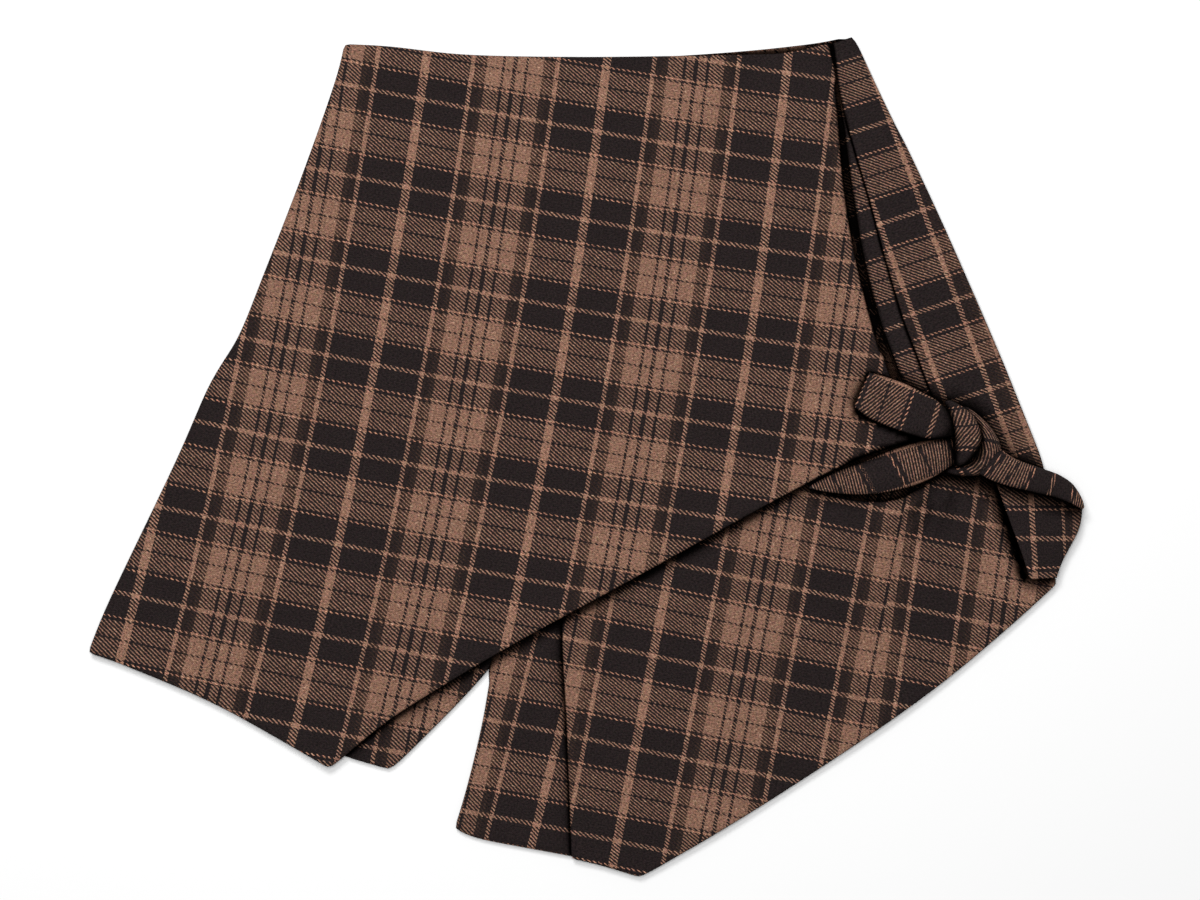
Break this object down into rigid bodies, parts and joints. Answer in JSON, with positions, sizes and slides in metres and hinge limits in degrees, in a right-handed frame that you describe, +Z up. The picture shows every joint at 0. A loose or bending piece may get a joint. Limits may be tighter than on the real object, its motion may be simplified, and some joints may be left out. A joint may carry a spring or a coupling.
{
  "type": "checked wrap skort laid flat",
  "caption": "Checked wrap overskirt over shorts, laid flat, with a slanting hem, a pleated hip panel and a side tie knotted in a half bow.",
  "frame": {"origin": "middle of the garment's box, on the surface it lies on", "axes": "+X towards the wearer's left, where the bow is, +Y towards the waist, +Z up from the surface"},
  "size_m": [0.6418, 0.543, 0.024],
  "materials": {
    "check_cloth": "brushed brown and black checked twill, matt"
  },
  "bodies": {
    "root": {"shorts_back_right": "check_cloth", "shorts_back_left": "check_cloth", "shorts_front_right": "check_cloth", "shorts_front_left": "check_cloth", "hip_panel": "check_cloth", "underwrap_panel": "check_cloth", "overskirt_panel": "check_cloth", "tie_knot": "check_cloth", "tie_short_end": "check_cloth", "tie_loop": "check_cloth", "tie_long_band": "check_cloth", "tie_long_tail": "check_cloth"}
  },
  "joints": []
}
